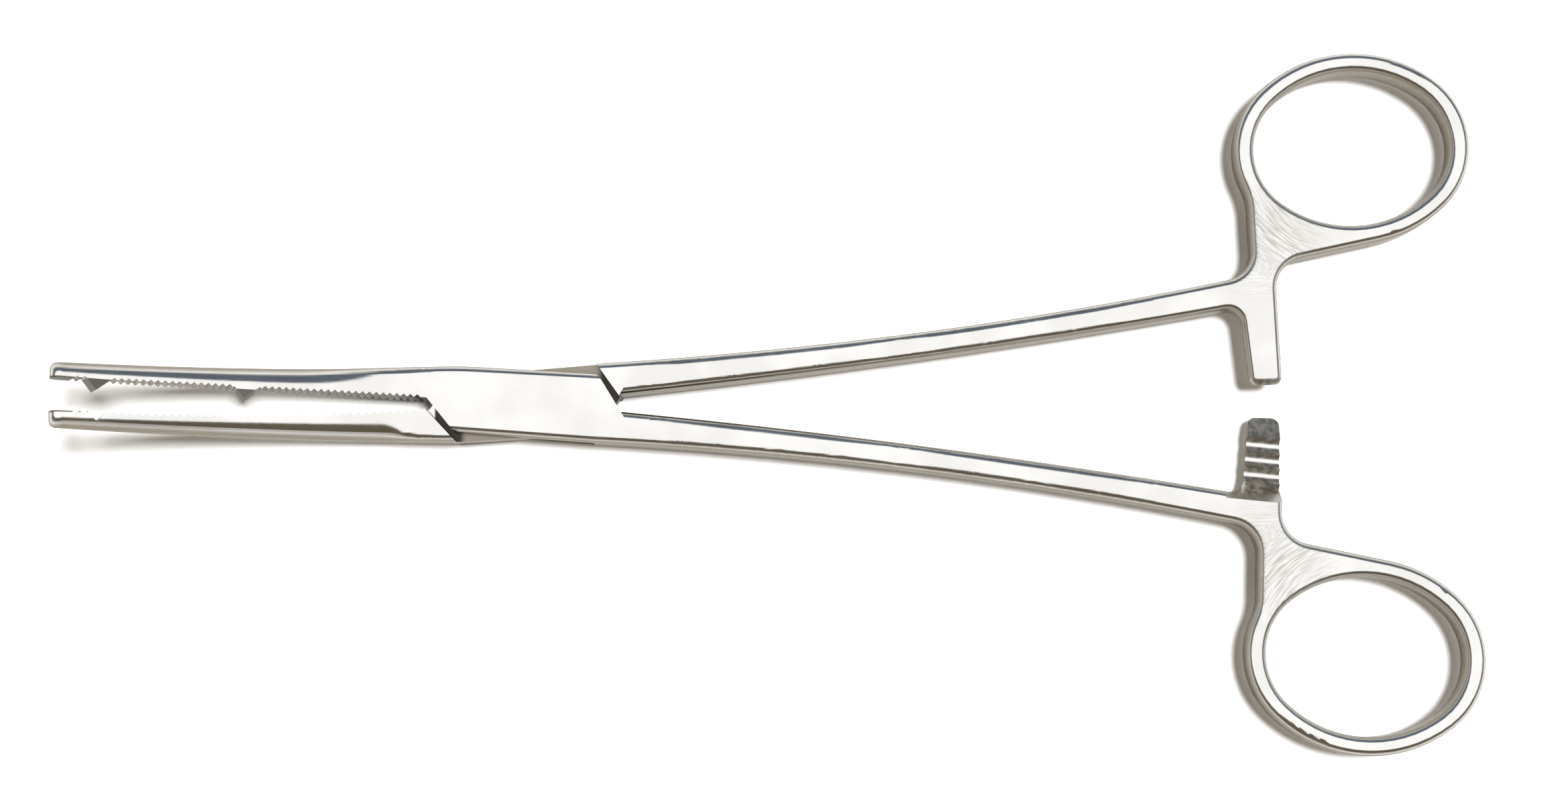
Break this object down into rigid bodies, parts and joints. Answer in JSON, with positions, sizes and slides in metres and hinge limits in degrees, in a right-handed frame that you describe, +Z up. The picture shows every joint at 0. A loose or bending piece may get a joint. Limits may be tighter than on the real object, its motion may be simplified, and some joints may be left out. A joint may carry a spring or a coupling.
{
  "type": "surgical clamping forceps",
  "caption": "Curved forceps with serrated jaws, spurs on one jaw, a box lock, slender shanks, finger rings and a toothed ratchet.",
  "frame": {"origin": "the lock pin's centre, at the underside of the box", "axes": "+X towards the finger rings along the line half-way between the halves, +Z up through the lock and the way the jaws curve, +Y towards the slotted half's jaw"},
  "size_m": [0.2049, 0.1036, 0.0191],
  "materials": {
    "steel": "satin ground stainless steel",
    "pin_steel": "ground flush and polished over"
  },
  "bodies": {
    "female": {"female_half": "steel", "lock_pin": "pin_steel"},
    "male": {"male_half": "steel"}
  },
  "joints": [
    {"name": "lock_hinge", "type": "hinge", "parent": "female", "child": "male", "pos_m": [0, 0, 0], "axis": [0, 0, 1], "range_deg": [-4, 56]}
  ]
}
